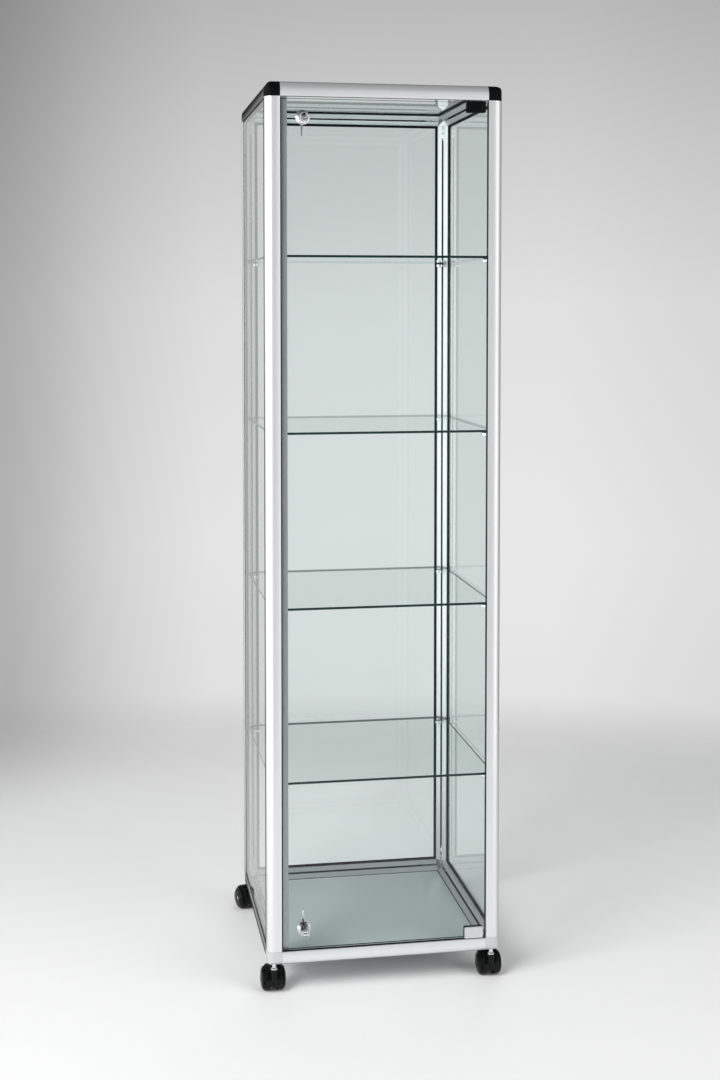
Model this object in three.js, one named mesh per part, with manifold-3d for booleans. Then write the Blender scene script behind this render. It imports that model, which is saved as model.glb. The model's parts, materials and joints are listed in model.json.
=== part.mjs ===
// Glass display showcase: an aluminium frame with glass walls, four glass shelves, a locking glass
// door and four castors. Millimetres, +Z up. The door is at -Y, and +X is to the right of someone
// facing it. The origin is on the floor, under the middle of the frame.
import * as THREE from "three";
import { mergeVertices } from "three/addons/utils/BufferGeometryUtils.js";
import Module from "manifold-3d";

const wasm = await Module();
wasm.setup();

// Overall size.
const HALF_WIDTH = 250;
const HALF_DEPTH = 250;
const FRAME_BOTTOM = 62;
const FRAME_TOP = 1900;
const GAP = 0.3;

// Aluminium profile. Its section is drawn from the outer corner, with u and v running inwards.
const PROFILE = 31;
const CORNER_RADIUS = 17.5;
const LIP = 2.5;
const GROOVE_FLOOR = 20;
const GROOVE_INNER = 9.8;
const INNER_LIP_END = 11.4;
const SKIN = 2;
const CORE_END = 18.2;
const CORE_DIAGONAL = 12.2;
const SLOT_MOUTH = 4.6;
const SLOT_LIP = 1.7;
const SLOT_WIDTH = 10.4;
const SLOT_DEPTH = 5;
const ARC_STEPS = 7;
const SLOT_FACE = (PROFILE + INNER_LIP_END) / 2;
const DOOR_STOP_END = 46;
const DOOR_STOP_FRONT = 7.4;
const DOOR_STOP_BACK = 9.8;

// Corner blocks and the connector arms that they push into the profiles.
const ARM_WIDTH = 9.6;
const ARM_DEPTH = 4.2;
const ARM_REACH = 66;
const CASTOR_INSET = 16;

// Glass and the base board.
const GLASS = 5;
const PANEL_FACE = 2.9;
const PANEL_EDGE = 22;
const BASE_FACE = 3.2;
const BASE_THICKNESS = 6;
const BASE_RAISED_EDGE = 33;
const BASE_RAISE = 0.8;

// Shelves, with their corners cut along the posts' slotted faces, and their clips.
const SHELF_COUNT = 4;
const SHELF_FIRST = 444;
const SHELF_PITCH = 366.7;
const SHELF_HALF_WIDTH = 238;
const SHELF_HALF_DEPTH = 234;
const SHELF_CORNER_GAP = 2.8;
const CLIP_WIDTH = 16;
const CLIP_REACH = 20;
const CLIP_HEIGHT = 8;
const CLIP_NECK = 3.8;
const CLIP_HEAD = 9.4;
const CLIP_HEAD_DEPTH = 4;

// Door glass, measured back from the frame's front face where it says depth.
const DOOR_HALF_WIDTH = 217;
const DOOR_DEPTH = 1.5;
const DOOR_BOTTOM = 97.7;
const DOOR_TOP = 1864.6;

// Pivot clamps.
const PIVOT_X = 208;
const PIVOT_DEPTH = 5.5;
const PIVOT_RADIUS = 2.5;
const PIVOT_LENGTH = 10;
const CLAMP_LEFT = 172;
const CLAMP_RIGHT = 212;
const CLAMP_HEIGHT = 24;
const CLAMP_WEB = 2.1;
const CLAMP_FRONT_DEPTH = -2;
const CLAMP_BACK_DEPTH = 11;

// Cam locks.
const LOCK_X = -173;
const LOCK_UPPER_Z = 1826;
const LOCK_LOWER_Z = 140;
const LOCK_HOLE_RADIUS = 10;
const LOCK_FLANGE_RADIUS = 15;
const LOCK_BARREL_RADIUS = 9;
const LOCK_FACE_RADIUS = 8;
const LOCK_BORE_RADIUS = 6.3;
const LOCK_FRONT_DEPTH = -28;
const LOCK_NUT_RADIUS = 13;
const LOCK_NUT_BACK = 9.8;
const PLUG_RADIUS = 6;
const CAM_DEPTH = 11;
const CAM_THICKNESS = 4;
const CAM_LENGTH = 37;
const CAM_WIDTH = 3.6;
const CAM_HUB_RADIUS = 8;
const KEYWAY_WIDTH = 9;
const KEYWAY_HEIGHT = 2.4;
const KEYWAY_DEPTH = 4;

// Twin-wheel castors: the stem is at the castor's own origin and the wheels trail towards its +Y.
const WHEEL_RADIUS = 25;
const WHEEL_HALF_TRACK = 26.5;
const WHEEL_INNER = 8;
const CASTOR_TRAIL = 22;
const AXLE_RADIUS = 4;
const HOOD_INNER = 26;
const HOOD_OUTER = 28.5;
const HOOD_WIDTH = 34;
const HOOD_BACK_ANGLE = 10;
const HOOD_FRONT_ANGLE = 200;
const WEB_WIDTH = 10;
const BOSS_RADIUS = 7.5;
const BOSS_TOP = 52;
const COLLAR_RADIUS = 7;
const COLLAR_TOP = 54.5;
const STEM_RADIUS = 4;
const STEM_TOP = 74;

const RIGHT_ANGLE = Math.PI / 2;
const SIDES = [
  { name: "front_left", x: -1, y: -1, castorTurn: 0 },
  { name: "front_right", x: 1, y: -1, castorTurn: 0 },
  { name: "back_left", x: -1, y: 1, castorTurn: 20 },
  { name: "back_right", x: 1, y: 1, castorTurn: -12 },
];

// Materials.
function finish(color, roughness, metalness, opacity = 1) {
  return new THREE.MeshStandardMaterial({
    color,
    roughness,
    metalness,
    opacity,
    transparent: opacity < 1,
  });
}

const aluminium = () => finish(0xd8dbdc, 0.32, 0.9);
const blackPlastic = () => finish(0x15171a, 0.45, 0);
const silverCasting = () => finish(0xc4c8ca, 0.4, 0.85);
const clearGlass = () => finish(0xc9dfd8, 0.04, 0, 0.3);
const shelfGlass = () => finish(0x7fa79b, 0.04, 0, 0.4);
const chrome = () => finish(0xe8eaec, 0.12, 1);
const boardGrey = () => finish(0xb4bab8, 0.5, 0);
const wheelBlack = () => finish(0x1c1e20, 0.5, 0);

// A geometry as a manifold-3d solid, for joins and cuts.
function solid(geometry) {
  const bare = new THREE.BufferGeometry();
  bare.setAttribute("position", geometry.getAttribute("position").clone());
  if (geometry.index) {
    bare.setIndex(geometry.index.clone());
  }
  const merged = mergeVertices(bare, 1e-3);
  return new wasm.Manifold(
    new wasm.Mesh({
      numProp: 3,
      vertProperties: merged.attributes.position.array,
      triVerts: new Uint32Array(merged.index.array),
    }),
  );
}

// A manifold-3d solid back as a three.js geometry.
function geometryOf(manifold) {
  const mesh = manifold.getMesh();
  const geometry = new THREE.BufferGeometry();
  geometry.setAttribute("position", new THREE.BufferAttribute(mesh.vertProperties, 3));
  geometry.setIndex(new THREE.BufferAttribute(mesh.triVerts, 1));
  geometry.computeVertexNormals();
  return geometry;
}

function joinAll(geometries) {
  return geometries.map(solid).reduce((whole, piece) => whole.add(piece));
}

function box(low, high) {
  const size = high.map((value, i) => value - low[i]);
  const geometry = new THREE.BoxGeometry(...size);
  return geometry.translate(...low.map((value, i) => value + size[i] / 2));
}

// A cylinder along Z, from the height bottom to the height top.
function uprightCylinder(radius, bottom, top, x = 0, y = 0) {
  const geometry = new THREE.CylinderGeometry(radius, radius, top - bottom, 24);
  return geometry.rotateX(RIGHT_ANGLE).translate(x, y, (bottom + top) / 2);
}

function extrude(shape, depth) {
  return new THREE.ExtrudeGeometry(shape, { depth, bevelEnabled: false, curveSegments: ARC_STEPS });
}

// A point of the profile's slotted face: along runs along the face, and out runs away from it.
function facePoint(along, out) {
  const u = SLOT_FACE + (along + out) / Math.SQRT2;
  const v = SLOT_FACE + (out - along) / Math.SQRT2;
  return [u, v];
}

function swapped(points) {
  return points.map(([u, v]) => [v, u]).reverse();
}

// The profile's hollow core, in its round outer corner.
function coreHole() {
  const hole = new THREE.Path();
  hole.moveTo(CORNER_RADIUS, SKIN);
  hole.lineTo(CORE_END, SKIN);
  hole.lineTo(CORE_END, CORE_DIAGONAL);
  hole.lineTo(CORE_DIAGONAL, CORE_END);
  hole.lineTo(SKIN, CORE_END);
  hole.lineTo(SKIN, CORNER_RADIUS);
  hole.absarc(CORNER_RADIUS, CORNER_RADIUS, CORNER_RADIUS - SKIN, Math.PI, 1.5 * Math.PI, false);
  return hole;
}

// The section of every post and rail. The door stop is a fin beside one glass groove.
function profileShape(withDoorStop) {
  const grooveSide = [
    [PROFILE, 0],
    [PROFILE, LIP],
    [GROOVE_FLOOR, LIP],
    [GROOVE_FLOOR, GROOVE_INNER],
    [PROFILE, GROOVE_INNER],
    [PROFILE, INNER_LIP_END],
  ];
  const stopSide = [
    [PROFILE, 0],
    [PROFILE, LIP],
    [GROOVE_FLOOR, LIP],
    [GROOVE_FLOOR, DOOR_STOP_FRONT],
    [DOOR_STOP_END, DOOR_STOP_FRONT],
    [DOOR_STOP_END, DOOR_STOP_BACK],
    [PROFILE, DOOR_STOP_BACK],
    [PROFILE, INNER_LIP_END],
  ];
  const slot = [
    facePoint(SLOT_MOUTH / 2, 0),
    facePoint(SLOT_MOUTH / 2, -SLOT_LIP),
    facePoint(SLOT_WIDTH / 2, -SLOT_LIP),
    facePoint(SLOT_WIDTH / 2, -SLOT_LIP - SLOT_DEPTH),
  ];
  const firstSide = withDoorStop ? stopSide : grooveSide;
  const shape = new THREE.Shape();
  shape.moveTo(CORNER_RADIUS, 0);
  [...firstSide, ...slot, ...swapped(slot), ...swapped(grooveSide)].forEach(([u, v]) => shape.lineTo(u, v));
  shape.lineTo(0, CORNER_RADIUS);
  shape.absarc(CORNER_RADIUS, CORNER_RADIUS, CORNER_RADIUS, Math.PI, 1.5 * Math.PI, false);
  shape.holes.push(coreHole());
  return shape;
}

// The profile's whole square with only its outer corner rounded.
function roundedSquare() {
  const shape = new THREE.Shape();
  shape.moveTo(CORNER_RADIUS, 0);
  shape.lineTo(PROFILE, 0);
  shape.lineTo(PROFILE, PROFILE);
  shape.lineTo(0, PROFILE);
  shape.lineTo(0, CORNER_RADIUS);
  shape.absarc(CORNER_RADIUS, CORNER_RADIUS, CORNER_RADIUS, Math.PI, 1.5 * Math.PI, false);
  return shape;
}

// The same square with only its inner corner cut off along the slotted face.
function cutSquare() {
  const shape = new THREE.Shape();
  shape.moveTo(0, 0);
  shape.lineTo(PROFILE, 0);
  shape.lineTo(PROFILE, INNER_LIP_END);
  shape.lineTo(INNER_LIP_END, PROFILE);
  shape.lineTo(0, PROFILE);
  return shape;
}

// Turns a geometry drawn along Z so that it lies along X, or along Y, keeping it right-handed.
const CYCLE_TO_X = new THREE.Matrix4().makeBasis(
  new THREE.Vector3(0, 1, 0),
  new THREE.Vector3(0, 0, 1),
  new THREE.Vector3(1, 0, 0),
);
const CYCLE_TO_Y = CYCLE_TO_X.clone().multiply(CYCLE_TO_X);

// One corner block, drawn from its outer corner: a cube with rounded outer edges, cut back inside to
// where the three profiles' slotted faces meet, with an arm along each axis, pockets for the panels'
// corners and, at the bottom, a hole for the castor's stem.
function cornerBlock(withStemHole) {
  const arm = () => {
    const [middle] = facePoint(0, -SLOT_LIP - SLOT_DEPTH / 2);
    const bar = new THREE.BoxGeometry(ARM_WIDTH, ARM_DEPTH, ARM_REACH - middle);
    return bar.rotateZ(-Math.PI / 4).translate(middle, middle, (ARM_REACH + middle) / 2);
  };
  const pocket = () =>
    box([GROOVE_FLOOR, GROOVE_FLOOR, LIP], [PROFILE + 1, PROFILE + 1, GROOVE_INNER]);
  const turns = [new THREE.Matrix4(), CYCLE_TO_X, CYCLE_TO_Y];
  const prisms = (shape) => turns.map((turn) => solid(extrude(shape, PROFILE).applyMatrix4(turn)));
  const cube = prisms(roundedSquare()).reduce((whole, piece) => whole.intersect(piece));
  const filled = prisms(cutSquare()).reduce((whole, piece) => whole.add(piece));
  let block = cube.intersect(filled);
  turns.forEach((turn) => {
    block = block.add(solid(arm().applyMatrix4(turn)));
    block = block.subtract(solid(pocket().applyMatrix4(turn)));
  });
  if (withStemHole) {
    const top = STEM_TOP - FRAME_BOTTOM + 1;
    block = block.subtract(solid(uprightCylinder(STEM_RADIUS + GAP, -1, top, CASTOR_INSET, CASTOR_INSET)));
  }
  return geometryOf(block);
}

// Places a geometry drawn from an outer corner at one corner or edge of the frame. The two inward
// directions are taken in the order that keeps the third one, their cross product, as asked.
function inwardFrame(corner, first, second, along) {
  const cross = new THREE.Vector3().crossVectors(first, second);
  const [u, v] = cross.dot(along) > 0 ? [first, second] : [second, first];
  return new THREE.Matrix4().makeBasis(u, v, along).setPosition(corner);
}

const showcase = new THREE.Group();
showcase.name = "glass_display_showcase";

function addMesh(parent, name, geometry, material) {
  const mesh = new THREE.Mesh(geometry, material);
  mesh.name = name;
  parent.add(mesh);
  return mesh;
}

// Frame: four posts, eight rails and eight corner blocks.
function addPosts() {
  const length = FRAME_TOP - FRAME_BOTTOM - 2 * (PROFILE + GAP);
  SIDES.forEach(({ name, x, y }) => {
    const geometry = extrude(profileShape(name === "front_left"), length);
    const mesh = addMesh(showcase, `post_${name}`, geometry, aluminium());
    const corner = new THREE.Vector3(x * HALF_WIDTH, y * HALF_DEPTH, FRAME_BOTTOM + PROFILE + GAP);
    const inX = new THREE.Vector3(-x, 0, 0);
    const inY = new THREE.Vector3(0, -y, 0);
    mesh.applyMatrix4(inwardFrame(corner, inX, inY, new THREE.Vector3(0, 0, 1)));
  });
}

function addRails() {
  const levels = [
    { name: "bottom", z: FRAME_BOTTOM, inZ: new THREE.Vector3(0, 0, 1) },
    { name: "top", z: FRAME_TOP, inZ: new THREE.Vector3(0, 0, -1) },
  ];
  const ends = PROFILE + GAP;
  levels.forEach(({ name, z, inZ }) => {
    [["front", -1], ["back", 1]].forEach(([side, y]) => {
      const geometry = extrude(profileShape(false), 2 * (HALF_WIDTH - ends));
      const mesh = addMesh(showcase, `${name}_rail_${side}`, geometry, aluminium());
      const corner = new THREE.Vector3(-HALF_WIDTH + ends, y * HALF_DEPTH, z);
      const inY = new THREE.Vector3(0, -y, 0);
      mesh.applyMatrix4(inwardFrame(corner, inY, inZ, new THREE.Vector3(1, 0, 0)));
    });
    [["left", -1], ["right", 1]].forEach(([side, x]) => {
      const geometry = extrude(profileShape(false), 2 * (HALF_DEPTH - ends));
      const mesh = addMesh(showcase, `${name}_rail_${side}`, geometry, aluminium());
      const corner = new THREE.Vector3(x * HALF_WIDTH, -HALF_DEPTH + ends, z);
      const inX = new THREE.Vector3(-x, 0, 0);
      mesh.applyMatrix4(inwardFrame(corner, inZ, inX, new THREE.Vector3(0, 1, 0)));
    });
  });
}

function addCornerBlocks() {
  SIDES.forEach(({ name, x, y }) => {
    const inX = new THREE.Vector3(-x, 0, 0);
    const inY = new THREE.Vector3(0, -y, 0);
    const low = new THREE.Vector3(x * HALF_WIDTH, y * HALF_DEPTH, FRAME_BOTTOM);
    const high = new THREE.Vector3(x * HALF_WIDTH, y * HALF_DEPTH, FRAME_TOP);
    const bottom = addMesh(showcase, `corner_bottom_${name}`, cornerBlock(true), silverCasting());
    bottom.applyMatrix4(inwardFrame(low, inX, inY, new THREE.Vector3(0, 0, 1)));
    const top = addMesh(showcase, `corner_top_${name}`, cornerBlock(false), blackPlastic());
    top.applyMatrix4(inwardFrame(high, inX, inY, new THREE.Vector3(0, 0, -1)));
  });
}

// The base board: its rim sits in the grooves, and its top stands a little higher inside the frame.
function basePanel(halfX, halfY) {
  const low = FRAME_BOTTOM + BASE_FACE;
  const rimTop = low + BASE_THICKNESS;
  const raisedX = HALF_WIDTH - BASE_RAISED_EDGE;
  const raisedY = HALF_DEPTH - BASE_RAISED_EDGE;
  const board = box([-halfX, -halfY, low], [halfX, halfY, rimTop]);
  const top = box([-raisedX, -raisedY, rimTop - 1], [raisedX, raisedY, rimTop + BASE_RAISE]);
  return geometryOf(joinAll([board, top]));
}

// Panels that sit in the frame's grooves.
function addPanels() {
  const panelX = HALF_WIDTH - PANEL_EDGE;
  const panelY = HALF_DEPTH - PANEL_EDGE;
  const low = FRAME_BOTTOM + PANEL_EDGE;
  const high = FRAME_TOP - PANEL_EDGE;
  [["left", -1], ["right", 1]].forEach(([side, x]) => {
    const outer = x * (HALF_WIDTH - PANEL_FACE);
    const inner = outer - x * GLASS;
    const near = Math.min(outer, inner);
    const far = Math.max(outer, inner);
    addMesh(showcase, `glass_${side}`, box([near, -panelY, low], [far, panelY, high]), clearGlass());
  });
  const backOuter = HALF_DEPTH - PANEL_FACE;
  const back = box([-panelX, backOuter - GLASS, low], [panelX, backOuter, high]);
  addMesh(showcase, "glass_back", back, clearGlass());
  const topOuter = FRAME_TOP - PANEL_FACE;
  const top = box([-panelX, -panelY, topOuter - GLASS], [panelX, panelY, topOuter]);
  addMesh(showcase, "glass_top", top, clearGlass());
  addMesh(showcase, "base_panel", basePanel(panelX, panelY), boardGrey());
}

// A shelf's outline: a rectangle whose corners are cut parallel to the posts' slotted faces.
function shelfShape() {
  const faceSum = HALF_WIDTH + HALF_DEPTH - PROFILE - INNER_LIP_END - SHELF_CORNER_GAP;
  const cutX = faceSum - SHELF_HALF_DEPTH;
  const cutY = faceSum - SHELF_HALF_WIDTH;
  const shape = new THREE.Shape();
  shape.moveTo(cutX, -SHELF_HALF_DEPTH);
  shape.lineTo(SHELF_HALF_WIDTH, -cutY);
  shape.lineTo(SHELF_HALF_WIDTH, cutY);
  shape.lineTo(cutX, SHELF_HALF_DEPTH);
  shape.lineTo(-cutX, SHELF_HALF_DEPTH);
  shape.lineTo(-SHELF_HALF_WIDTH, cutY);
  shape.lineTo(-SHELF_HALF_WIDTH, -cutY);
  shape.lineTo(-cutX, -SHELF_HALF_DEPTH);
  return shape;
}

// A shelf clip seen from above, with the post's slotted face at y = 0: a T-shaped foot in the slot
// and a round-nosed tongue under the shelf.
function clipShape() {
  const headBack = -SLOT_LIP - (SLOT_DEPTH + CLIP_HEAD_DEPTH) / 2;
  const headFront = headBack + CLIP_HEAD_DEPTH;
  const nose = CLIP_WIDTH / 2;
  const shape = new THREE.Shape();
  shape.moveTo(-CLIP_HEAD / 2, headBack);
  shape.lineTo(CLIP_HEAD / 2, headBack);
  shape.lineTo(CLIP_HEAD / 2, headFront);
  shape.lineTo(CLIP_NECK / 2, headFront);
  shape.lineTo(CLIP_NECK / 2, GAP);
  shape.lineTo(nose, GAP);
  shape.lineTo(nose, CLIP_REACH - nose);
  shape.absarc(0, CLIP_REACH - nose, nose, 0, Math.PI, false);
  shape.lineTo(-nose, GAP);
  shape.lineTo(-CLIP_NECK / 2, GAP);
  shape.lineTo(-CLIP_NECK / 2, headFront);
  shape.lineTo(-CLIP_HEAD / 2, headFront);
  return shape;
}

function addShelves() {
  for (let number = 1; number <= SHELF_COUNT; number += 1) {
    const bottom = SHELF_FIRST + (number - 1) * SHELF_PITCH - GLASS / 2;
    const shelf = addMesh(showcase, `shelf_${number}`, extrude(shelfShape(), GLASS), shelfGlass());
    shelf.position.z = bottom;
    SIDES.forEach(({ name, x, y }) => {
      const clip = addMesh(
        showcase,
        `shelf_${number}_clip_${name}`,
        extrude(clipShape(), CLIP_HEIGHT),
        chrome(),
      );
      const px = x * (HALF_WIDTH - SLOT_FACE);
      const py = y * (HALF_DEPTH - SLOT_FACE);
      clip.position.set(px, py, bottom - GAP - CLIP_HEIGHT);
      clip.rotation.z = Math.atan2(-y, -x) - RIGHT_ANGLE;
    });
  }
}

// Door: a sheet of glass with a hole for each lock, hung from two pivot clamps.
function addDoorGlass(door) {
  const shape = new THREE.Shape();
  shape.moveTo(-DOOR_HALF_WIDTH, DOOR_BOTTOM);
  shape.lineTo(DOOR_HALF_WIDTH, DOOR_BOTTOM);
  shape.lineTo(DOOR_HALF_WIDTH, DOOR_TOP);
  shape.lineTo(-DOOR_HALF_WIDTH, DOOR_TOP);
  [LOCK_LOWER_Z, LOCK_UPPER_Z].forEach((z) => {
    const hole = new THREE.Path();
    hole.absarc(LOCK_X, z, LOCK_HOLE_RADIUS, 0, 2 * Math.PI, true);
    shape.holes.push(hole);
  });
  const mesh = addMesh(door, "door_glass", extrude(shape, GLASS), clearGlass());
  mesh.rotation.x = RIGHT_ANGLE;
  mesh.position.y = -HALF_DEPTH + DOOR_DEPTH + GLASS;
}

// A pivot clamp with its web at z = 0, plates hanging below it and its pin standing above.
function pivotClamp() {
  const front = -HALF_DEPTH + CLAMP_FRONT_DEPTH;
  const back = -HALF_DEPTH + CLAMP_BACK_DEPTH;
  const glassFront = -HALF_DEPTH + DOOR_DEPTH - GAP;
  const glassBack = glassFront + GLASS + 2 * GAP;
  const body = box([CLAMP_LEFT, front, -CLAMP_HEIGHT], [CLAMP_RIGHT, back, 0]);
  const slot = box(
    [CLAMP_LEFT - 1, glassFront, -CLAMP_HEIGHT - 1],
    [CLAMP_RIGHT + 1, glassBack, -CLAMP_WEB],
  );
  const pin = uprightCylinder(PIVOT_RADIUS, -1, PIVOT_LENGTH, PIVOT_X, -HALF_DEPTH + PIVOT_DEPTH);
  return geometryOf(solid(body).subtract(solid(slot)).add(solid(pin)));
}

function addPivotClamps(door) {
  const upper = addMesh(door, "hinge_clamp_upper", pivotClamp(), blackPlastic());
  upper.position.z = DOOR_TOP + GAP + CLAMP_WEB;
  const lower = addMesh(door, "hinge_clamp_lower", pivotClamp(), silverCasting());
  lower.scale.z = -1;
  lower.position.z = DOOR_BOTTOM - GAP - CLAMP_WEB;
}

// The fixed part of a lock, turned about Y: barrel, flange, neck through the glass and rear nut.
function lockBody() {
  const flangeBack = DOOR_DEPTH - GAP;
  const nutFront = DOOR_DEPTH + GLASS + GAP;
  const profile = [
    [LOCK_BORE_RADIUS, LOCK_FRONT_DEPTH],
    [LOCK_FACE_RADIUS, LOCK_FRONT_DEPTH],
    [LOCK_BARREL_RADIUS, LOCK_FRONT_DEPTH + 1],
    [LOCK_BARREL_RADIUS, flangeBack - 7],
    [LOCK_FLANGE_RADIUS - 3, flangeBack - 5],
    [LOCK_FLANGE_RADIUS, flangeBack - 2],
    [LOCK_FLANGE_RADIUS, flangeBack],
    [LOCK_HOLE_RADIUS - GAP, flangeBack],
    [LOCK_HOLE_RADIUS - GAP, nutFront],
    [LOCK_NUT_RADIUS, nutFront],
    [LOCK_NUT_RADIUS, LOCK_NUT_BACK],
    [LOCK_BORE_RADIUS, LOCK_NUT_BACK],
    [LOCK_BORE_RADIUS, LOCK_FRONT_DEPTH],
  ];
  return new THREE.LatheGeometry(profile.map(([r, y]) => new THREE.Vector2(r, y - HALF_DEPTH)), 20);
}

// The turning part of a lock: a plug with a keyway, and a cam behind the glass that points down.
function lockCam() {
  const halfAngle = Math.asin(CAM_WIDTH / 2 / CAM_HUB_RADIUS);
  const tipCentre = CAM_WIDTH / 2 - CAM_LENGTH;
  const shape = new THREE.Shape();
  shape.absarc(0, 0, CAM_HUB_RADIUS, halfAngle - RIGHT_ANGLE, 3 * RIGHT_ANGLE - halfAngle, false);
  shape.lineTo(-CAM_WIDTH / 2, tipCentre);
  shape.absarc(0, tipCentre, CAM_WIDTH / 2, Math.PI, 2 * Math.PI, false);
  const camBack = -HALF_DEPTH + CAM_DEPTH + CAM_THICKNESS;
  const blade = extrude(shape, CAM_THICKNESS).rotateX(RIGHT_ANGLE).translate(0, camBack, 0);
  const front = -HALF_DEPTH + LOCK_FRONT_DEPTH + GAP;
  const length = camBack + 1 - front;
  const plug = new THREE.CylinderGeometry(PLUG_RADIUS, PLUG_RADIUS, length, 20);
  plug.translate(0, front + length / 2, 0);
  const keyway = box(
    [-KEYWAY_WIDTH / 2, front - 1, -KEYWAY_HEIGHT / 2],
    [KEYWAY_WIDTH / 2, front + KEYWAY_DEPTH, KEYWAY_HEIGHT / 2],
  );
  return geometryOf(joinAll([blade, plug]).subtract(solid(keyway)));
}

function addLocks(door) {
  const locks = [
    { name: "upper", z: LOCK_UPPER_Z, turn: 0 },
    { name: "lower", z: LOCK_LOWER_Z, turn: Math.PI },
  ];
  locks.forEach(({ name, z, turn }) => {
    const body = addMesh(door, `lock_${name}_body`, lockBody(), chrome());
    body.position.set(LOCK_X, 0, z);
    const cam = addMesh(door, `lock_${name}_cam`, lockCam(), chrome());
    cam.position.set(LOCK_X, 0, z);
    cam.rotation.y = turn;
  });
}

function addDoor() {
  const door = new THREE.Group();
  showcase.add(door);
  addDoorGlass(door);
  addPivotClamps(door);
  addLocks(door);
}

// Castor hood with its stem: an arched cover, a web between the wheels and the stem's boss.
function hoodSector(outer, inner) {
  const back = THREE.MathUtils.degToRad(HOOD_BACK_ANGLE);
  const front = THREE.MathUtils.degToRad(HOOD_FRONT_ANGLE);
  const shape = new THREE.Shape();
  shape.absarc(0, 0, outer, back, front, false);
  if (inner > 0) {
    shape.absarc(0, 0, inner, front, back, true);
  } else {
    shape.lineTo(0, 0);
  }
  return shape;
}

// Extrudes a side view, drawn about the axle with +Y to the right, across the castor's width.
function acrossCastor(shape, width) {
  const side = new THREE.ExtrudeGeometry(shape, { depth: width, bevelEnabled: false, curveSegments: 14 });
  side.translate(0, 0, -width / 2).applyMatrix4(CYCLE_TO_X);
  return side.translate(0, CASTOR_TRAIL, WHEEL_RADIUS);
}

function castorHood() {
  const disc = (radius) => new THREE.Shape().absarc(0, 0, radius, 0, 2 * Math.PI, false);
  const cover = acrossCastor(hoodSector(HOOD_OUTER, HOOD_INNER), HOOD_WIDTH);
  const web = acrossCastor(hoodSector((HOOD_OUTER + HOOD_INNER) / 2, 0), WEB_WIDTH);
  const axleBoss = acrossCastor(disc(BOSS_RADIUS), WEB_WIDTH);
  const boss = uprightCylinder(BOSS_RADIUS, WHEEL_RADIUS, BOSS_TOP);
  const collar = uprightCylinder(COLLAR_RADIUS, WHEEL_RADIUS, COLLAR_TOP);
  const stem = uprightCylinder(STEM_RADIUS, WHEEL_RADIUS, STEM_TOP);
  const axleHole = acrossCastor(disc(AXLE_RADIUS + GAP), 2 * HOOD_WIDTH);
  const whole = joinAll([cover, web, axleBoss, boss, collar, stem]);
  return geometryOf(whole.subtract(solid(axleHole)));
}

// Both wheels of a castor on their axle, turned about X.
function castorWheels() {
  const half = [
    [AXLE_RADIUS, WHEEL_INNER],
    [WHEEL_RADIUS - 1, WHEEL_INNER],
    [WHEEL_RADIUS, WHEEL_INNER + 1.5],
    [WHEEL_RADIUS, WHEEL_HALF_TRACK - 8],
    [WHEEL_RADIUS - 1.5, WHEEL_HALF_TRACK - 4.5],
    [WHEEL_RADIUS - 6, WHEEL_HALF_TRACK - 1.5],
    [WHEEL_RADIUS - 13, WHEEL_HALF_TRACK],
    [0, WHEEL_HALF_TRACK],
  ];
  const mirrored = half.map(([r, x]) => [r, -x]).reverse();
  const points = [...mirrored, ...half].map(([r, x]) => new THREE.Vector2(r, x));
  const wheels = new THREE.LatheGeometry(points, 24);
  return wheels.rotateZ(-RIGHT_ANGLE).translate(0, CASTOR_TRAIL, WHEEL_RADIUS);
}

function addCastors() {
  SIDES.forEach(({ name, x, y, castorTurn }) => {
    const castor = new THREE.Group();
    castor.position.set(x * (HALF_WIDTH - CASTOR_INSET), y * (HALF_DEPTH - CASTOR_INSET), 0);
    castor.rotation.z = THREE.MathUtils.degToRad(castorTurn);
    addMesh(castor, `castor_${name}_hood`, castorHood(), blackPlastic());
    addMesh(castor, `castor_${name}_wheels`, castorWheels(), wheelBlack());
    showcase.add(castor);
  });
}

addPosts();
addRails();
addCornerBlocks();
addPanels();
addShelves();
addDoor();
addCastors();

export default showcase;
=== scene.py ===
"""The looks of a glass display showcase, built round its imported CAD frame.

Shapes are worked out in millimetres, in the frame's own axes: +Z up, the door at -Y, and +X to the
right of someone facing it. They turn into metres when a piece's mesh is stored.
"""

import json
import math

import bmesh
import bpy
from mathutils import Matrix, Vector
from mathutils.geometry import tessellate_polygon


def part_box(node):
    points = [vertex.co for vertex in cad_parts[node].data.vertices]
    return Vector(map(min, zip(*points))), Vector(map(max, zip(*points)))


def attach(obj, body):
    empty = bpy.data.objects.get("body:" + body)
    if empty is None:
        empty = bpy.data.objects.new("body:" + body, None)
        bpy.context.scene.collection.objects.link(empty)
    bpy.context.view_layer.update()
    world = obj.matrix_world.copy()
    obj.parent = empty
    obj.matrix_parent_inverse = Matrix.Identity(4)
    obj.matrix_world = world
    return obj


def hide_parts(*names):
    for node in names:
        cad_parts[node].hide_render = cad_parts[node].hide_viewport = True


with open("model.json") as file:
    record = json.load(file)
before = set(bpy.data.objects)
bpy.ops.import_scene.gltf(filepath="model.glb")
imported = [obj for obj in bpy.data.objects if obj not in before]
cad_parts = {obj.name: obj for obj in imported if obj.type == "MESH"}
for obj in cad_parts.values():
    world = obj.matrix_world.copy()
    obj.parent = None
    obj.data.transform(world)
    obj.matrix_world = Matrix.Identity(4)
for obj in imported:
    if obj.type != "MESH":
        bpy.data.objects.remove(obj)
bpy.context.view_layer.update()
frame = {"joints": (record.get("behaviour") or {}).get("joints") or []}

MM = 0.001
X, Y, Z = Vector((1, 0, 0)), Vector((0, 1, 0)), Vector((0, 0, 1))

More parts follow.
